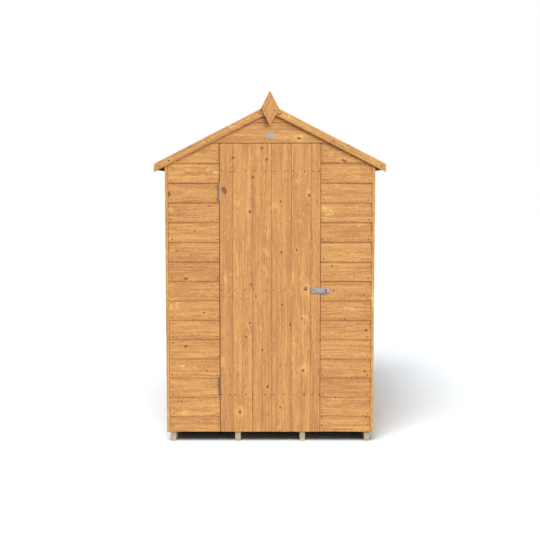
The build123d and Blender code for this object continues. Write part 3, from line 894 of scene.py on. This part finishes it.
def headPiece(name, body, spots, metal, outline, smoothAngle, turn=0.0):
    bm = bmesh.new()
    for point, outward in spots:
        facing = outward.to_track_quat("Z", "Y").to_matrix()
        if turn:
            facing = facing @ Matrix.Rotation(dice.uniform(0, turn), 3, "Z")
        rings = []
        for ring, height in outline:
            rings.append([bm.verts.new(point + facing @ Vector((x, y, height))) for x, y in ring])
        skinRings(bm, rings)
    finishPiece(name, bm, metal, body, "zinc_steel", smoothAngle)


def nailPiece(name, body, spots, radius=nails["radius"], rise=nails["rise"], metal=nailSteel):
    headPiece(name, body, spots, metal, headOutline(nails, radius, rise), smoothAngle=50)


def wander(reach=nails["wander"]):
    return dice.uniform(-reach, reach)


def lapSpots(lows, columns, place, outward, keep=lambda along, z: True):
    spots = []
    tilted = (outward + Vector((0, 0, leanRate))).normalized()
    for low, nextLow in lapRows(lows):
        rises = nails["footRows"] if low == boardsFoot else (nails["aboveEdge"],)
        for z in [low + rise for rise in rises]:
            depth = leanRate * (nextLow + lapped["lap"] - z) + lapped["thick"]
            for along in columns:
                where = along + wander(nails["lapWander"])
                if keep(where, z):
                    spots.append((place(where, z, depth), tilted))
    return spots


def clearOnFront(x, z):
    return abs(x) < gableHalf(z + nails["edgeRoom"]) or z < eavesLevel - nails["edgeRoom"]


def clearOnBack(x, z):
    return abs(x) < gableHalf(z) - nails["edgeRoom"] or z < eavesLevel - nails["edgeRoom"]


cornerColumn = halfWidth - nails["inset"]
leftPost, rightPost = nails["doorwayInset"]
frontColumns = [-cornerColumn, -doorwayHalf - leftPost, doorwayHalf + rightPost, cornerColumn]
backColumns = [side * spot for side in (-1, 1) for spot in (nails["backStud"], cornerColumn)]
sideColumns = [side * spot for side in (-1, 1) for spot in nails["sideStuds"]]
frontSpots = lapSpots(frontLows, frontColumns, onFront, outFront, clearOnFront)
frontSpots += lapSpots(gableLows[:1], nails["gableColumns"], onFront, outFront)
nailPiece("front_board_nails", "shed", frontSpots)
nailPiece("back_board_nails", "shed", lapSpots(backLows, backColumns, onBack, outBack, clearOnBack))
for label, facing in (("left", -1), ("right", 1)):
    sideSpots = lapSpots(sideLows[:-1], sideColumns, onSide(facing), Vector((facing, 0, 0)))
    nailPiece(label + "_side_nails", "shed", sideSpots)

# two nails in each door board at each ledge; far is from the board's right joint, one for each board
doorNails = {"near": 13 * mm, "far": [15 * mm] + [40 * mm] * 4 + [5 * mm], "drops": (5 * mm, 6 * mm, 0)}


def doorSpots():
    joints = doorJoints()
    levels = sorted({round(vert.co.z, 4) for vert in frame["nodes"]["door_ledges"].data.vertices})
    spots = []
    for low, high, drop in zip(levels[::2], levels[1::2], doorNails["drops"]):
        z = (low + high) / 2 - drop
        for start, stop, far in zip(joints, joints[1:], doorNails["far"]):
            for x in (start + doorNails["near"], stop - far):
                spots.append((Vector((x + wander(), doorLow.y, z + wander())), outFront))
    return spots


nailPiece("door_nails", "door", doorSpots())

# nails of the bargeboards, the finials and the corner strips
trimNails = {"along": [65 * mm, 393 * mm, 692 * mm], "belowTop": 24 * mm, "finialSide": 28 * mm,
             "finialDrop": 10 * mm, "stripRows": 5, "stripEnd": 90 * mm}


def trimSpots():
    spots = []
    bargeFace = -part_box("bargeboard_front_left")[0].y
    finialLow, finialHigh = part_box("finial_front")
    finialZ = (finialLow.z + finialHigh.z) / 2 - trimNails["finialDrop"]
    for facing in (-1, 1):
        outward = Vector((0, facing, 0))
        for side in (-1, 1):
            for x in trimNails["along"]:
                z = bargePeak - x * roofTan - trimNails["belowTop"] + wander()
                spots.append((Vector((side * x, facing * bargeFace, z)), outward))
            finialSpot = Vector((side * trimNails["finialSide"], facing * -finialLow.y, finialZ))
            spots.append((finialSpot, outward))
    for node in ("front_corner_strips", "back_corner_strips"):
        low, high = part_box(node)
        start, stop = low.z + trimNails["stripEnd"], high.z - trimNails["stripEnd"]
        for row in range(trimNails["stripRows"]):
            z = start + (stop - start) * row / (trimNails["stripRows"] - 1)
            for side in (-1, 1):
                spot = Vector((side * high.x, (low.y + high.y) / 2 + wander(), z))
                spots.append((spot, Vector((side, 0, 0))))
    return spots


nailPiece("trim_nails", "shed", trimSpots())

# galvanised clouts hold the felt along its edges
clouts = {"radius": 4.8 * mm, "rise": 0.9 * mm, "pitch": 105 * mm, "edgePitch": 157.5 * mm, "inset": 16 * mm,
          "edgeUp": 9.6 * mm, "lift": 0.6 * mm, "fromCap": 40 * mm}


def evenSpots(start, stop, pitch):
    count = max(2, round((stop - start) / pitch))
    return [start + (stop - start) * index / (count - 1) for index in range(count)]


def cloutSpots():
    spots = []
    feltLow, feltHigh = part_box("felt_right")
    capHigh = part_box("felt_ridge_cap")[1]
    roofEnd, capEdge = feltHigh.y - clouts["inset"], capHigh.x - clouts["inset"]
    capLevel = capHigh.z - capEdge * roofTan + clouts["lift"]
    rakeSpots = evenSpots(capHigh.x + clouts["fromCap"], feltHigh.x - clouts["inset"], clouts["pitch"])
    eavesSpots = evenSpots(felt["slice"] - roofEnd, roofEnd - felt["slice"], clouts["edgePitch"])
    for side in (-1, 1):
        out = Vector((side * math.sin(roofPitch), 0, math.cos(roofPitch)))
        for facing in (-1, 1):
            for x in rakeSpots:
                level = feltHigh.z - x * roofTan + clouts["lift"]
                spots.append((Vector((side * x, facing * roofEnd, level)), out))
        for y in eavesSpots:
            spots.append((Vector((side * capEdge, y, capLevel)), out))
            edge = Vector((side * feltHigh.x, y, feltLow.z + clouts["edgeUp"]))
            spots.append((edge, Vector((side, 0, 0))))
    return spots


nailPiece("felt_clouts", "shed", cloutSpots(), clouts["radius"], clouts["rise"], zincSteel)
print("nails driven")

# ironmongery keeps its CAD form with eased edges
iron = {"ease": 0.35 * mm, "sharp": 20, "plate": 1.5 * mm, "slim": 0.9, "ribFace": 0.4 * mm,
        "ribSlope": (4 * mm, 3.2 * mm)}
baseLow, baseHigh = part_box("hasp_base")
haspMiddle = (baseLow.z + baseHigh.z) / 2


def pressRib(bm):       # the rib's sides slope, as pressed sheet does
    front = min(vert.co.y for vert in bm.verts)
    face = [vert for vert in bm.verts if vert.co.y < front + iron["ribFace"]]
    middle = sum((vert.co for vert in face), Vector()) / len(face)
    for vert in face:
        vert.co.x -= math.copysign(iron["ribSlope"][0], vert.co.x - middle.x)
        vert.co.z -= math.copysign(iron["ribSlope"][1], vert.co.z - middle.z)


def dressIron(node):
    bm = copyNode(node)
    if node == "hasp_flap":
        pressRib(bm)
    if "hasp" in node:
        for vert in bm.verts:
            vert.co.z = haspMiddle + iron["slim"] * (vert.co.z - haspMiddle)
    easeArrises(bm, iron["ease"], iron["sharp"])
    finishNode(node + "_metal", bm, hingeSteel if "hinge" in node else zincSteel, node, smoothAngle=35)


for node in nodesOf("zinc_steel"):
    dressIron(node)

# cross-headed screws in the plates: rings as for the nails, arm and slot as shares of the radius
screws = {"radius": 3.1 * mm, "rise": 0.6 * mm, "sides": 12, "arm": 0.58, "slot": 0.15, "deep": 0.7 * mm,
          "turn": 1.5, "rings": [(1.0, -0.4), (1.0, 0.35), (0.78, 1.0)], "hingeEnd": 56 * mm,
          "hingeHoles": [(20 * mm, -40 * mm), (31 * mm, -20 * mm), (31 * mm, 20 * mm), (20 * mm, 40 * mm)],
          "baseHoles": [(9 * mm, -9.5 * mm), (9 * mm, 9.5 * mm), (30 * mm, -9.5 * mm), (30 * mm, 9.5 * mm)],
          "stapleHoles": [-11.2 * mm, 11.2 * mm]}


def screwPiece(name, body, spots, metal):
    radius, rise = screws["radius"], screws["rise"]
    arm, slot = screws["arm"] * radius, screws["slot"] * radius
    quarter = [(arm, -slot), (arm, slot), (slot, slot)]
    cross = []
    for _ in range(4):
        cross += quarter
        quarter = [(-y, x) for x, y in quarter]
    outline = headOutline(screws, radius, rise, -math.pi / screws["sides"])
    outline += [(cross, rise), (cross, rise - screws["deep"])]
    headPiece(name, body, spots, metal, outline, smoothAngle=40, turn=screws["turn"])


def hingeSpots(face, outward):
    low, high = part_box("hinge_frame_leaves")
    spots = []
    for middle in (low.z + screws["hingeEnd"], high.z - screws["hingeEnd"]):
        for step, rise in screws["hingeHoles"]:
            spots.append((Vector((face, low.y + step, middle + rise)), Vector((outward, 0, 0))))
    return spots


def baseSpots():
    face = baseHigh.y - iron["plate"]
    return [(Vector((baseHigh.x - x, face, haspMiddle + rise)), outFront) for x, rise in screws["baseHoles"]]


def stapleSpots():
    low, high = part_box("hasp_staple")
    top = min(edge for edge in frontLows if edge > haspMiddle) + lapped["lap"]
    spots = []
    for rise in screws["stapleHoles"]:
        z = haspMiddle + rise
        depth = leanRate * (top - z) + lapped["thick"] + iron["plate"]
        spots.append((onFront((low.x + high.x) / 2, z, depth), Vector((0, -1, leanRate)).normalized()))
    return spots


screwPiece("hinge_frame_screws", "shed", hingeSpots(-doorwayHalf + iron["plate"], 1), hingeSteel)
screwPiece("hinge_door_screws", "door", hingeSpots(doorLow.x - iron["plate"], -1), hingeSteel)
screwPiece("hasp_base_screws", "door", baseSpots(), zincSteel)
screwPiece("hasp_staple_screws", "shed", stapleSpots(), zincSteel)

# bare oval plate on the gable board: steps as (inset from the edge, share of the thickness)
plate = {"wide": 60 * mm, "tall": 32 * mm, "thick": 1.6 * mm, "rise": 43.6 * mm, "sides": 48,
         "steps": [(0, -0.3), (0, 0.8), (0.35 * mm, 1.0), (0.8 * mm, 1.0), (1.15 * mm, 0.55),
                   (2.2 * mm, 0.5), (6 * mm, 0.62), (11 * mm, 0.75)]}


def ovalPlate():
    bm = bmesh.new()
    middle = gableLows[0] + plate["rise"]
    depth = leanRate * (lapped["pitch"] + lapped["lap"] - plate["rise"]) + lapped["thick"]
    rings = []
    for inset, height in plate["steps"]:
        ring = roundRing(plate["sides"], plate["wide"] / 2 - inset, plate["tall"] / 2 - inset)
        proud = depth + height * plate["thick"]
        rings.append([bm.verts.new(onFront(x, middle + up, proud - leanRate * up)) for x, up in ring])
    skinRings(bm, rings)
    finishPiece("gable_plate", bm, plateMetal, "shed", "zinc_steel", smoothAngle=40)


ovalPlate()
print("ironmongery and plate done")

# stage: pale floor, a world that the camera sees as white, a key and two fills on the shed, a floor lamp
# lamps: name, strength, where the light comes from, its angle, and if the floor is left out or lit alone
studio = {"ambient": 0.45, "floorHalf": 40.0, "floorColour": (0.473, 0.495, 0.510, 1),
          "floorBounce": (0.17, 0.18, 0.19, 1),
          "lamps": [("key", 2.57, (0.46, -0.82, 0.50), 50, "EXCLUDE"),
                    ("fill0", 1.5, (-0.7, 0.45, 0.75), 25, "EXCLUDE"),
                    ("fill1", 1.5, (0.3, 0.85, 0.6), 25, "EXCLUDE"),
                    ("floorLamp", 6.6, (-0.26, -1.05, 1.6), 38, "INCLUDE")]}


def seenRays(tree):     # the camera's own rays, and those by gloss and glass
    rays = addNode(tree, "LightPath").outputs
    passed = plus(rays["Is Glossy Ray"], rays["Is Transmission Ray"])
    return plus(rays["Is Camera Ray"], passed, clamp=True)


def buildStage():
    mesh = bpy.data.meshes.new("ground")
    half = studio["floorHalf"]
    corners = [(-half, -half, 0), (half, -half, 0), (half, half, 0), (-half, half, 0)]
    mesh.from_pydata(corners, [], [(0, 1, 2, 3)])
    ground = bpy.data.objects.new("ground", mesh)
    scene.collection.objects.link(ground)
    material, tree, shader = newMaterial("paleFloor", {"Roughness": 1.0, "Specular IOR Level": 0.0})
    shade = mixColour(seenRays(tree), studio["floorBounce"], studio["floorColour"])
    tree.links.new(shade, shader.inputs["Base Color"])      # little light comes back off the floor
    mesh.materials.append(material)
    return ground


def buildWorld():
    world = bpy.data.worlds.new("studio")
    scene.world = world
    world.use_nodes = True
    tree = world.node_tree
    tree.nodes.clear()
    strength = timesPlus(seenRays(tree), 1.0 - studio["ambient"], studio["ambient"])
    sky = addNode(tree, "Background", {"Color": (1, 1, 1, 1), "Strength": strength})
    addNode(tree, "OutputWorld", {0: sky.outputs[0]})


def sunLamp(ground, name, strength, comesFrom, angle, state):
    lamp = bpy.data.lights.new(name, "SUN")
    lamp.energy = strength
    lamp.angle = math.radians(angle)
    holder = bpy.data.objects.new(name, lamp)
    holder.rotation_euler = Vector(comesFrom).to_track_quat("Z", "Y").to_euler()
    scene.collection.objects.link(holder)
    group = bpy.data.collections.new(name + "Receivers")        # lights only the floor, or all but the floor
    group.objects.link(ground)
    group.collection_objects[0].light_linking.link_state = state
    holder.light_linking.receiver_collection = group


ground = buildStage()
buildWorld()
for lamp in studio["lamps"]:
    sunLamp(ground, *lamp)

# camera at the photograph's angle
view = {"lens": 63.47, "sensor": 36.0, "height": 1.614, "distance": 5.949, "tilt": 4.96}
camera = bpy.data.cameras.new("camera")
camera.lens = view["lens"]
camera.sensor_width = view["sensor"]
camera.sensor_fit = "HORIZONTAL"
cameraHolder = bpy.data.objects.new("camera", camera)
cameraHolder.location = (0, panelLow.y - view["distance"], view["height"])
cameraHolder.rotation_euler = (math.radians(90 - view["tilt"]), 0, 0)
scene.collection.objects.link(cameraHolder)
scene.camera = cameraHolder
scene.view_settings.view_transform = "Standard"
print("stage, lamps and camera set")
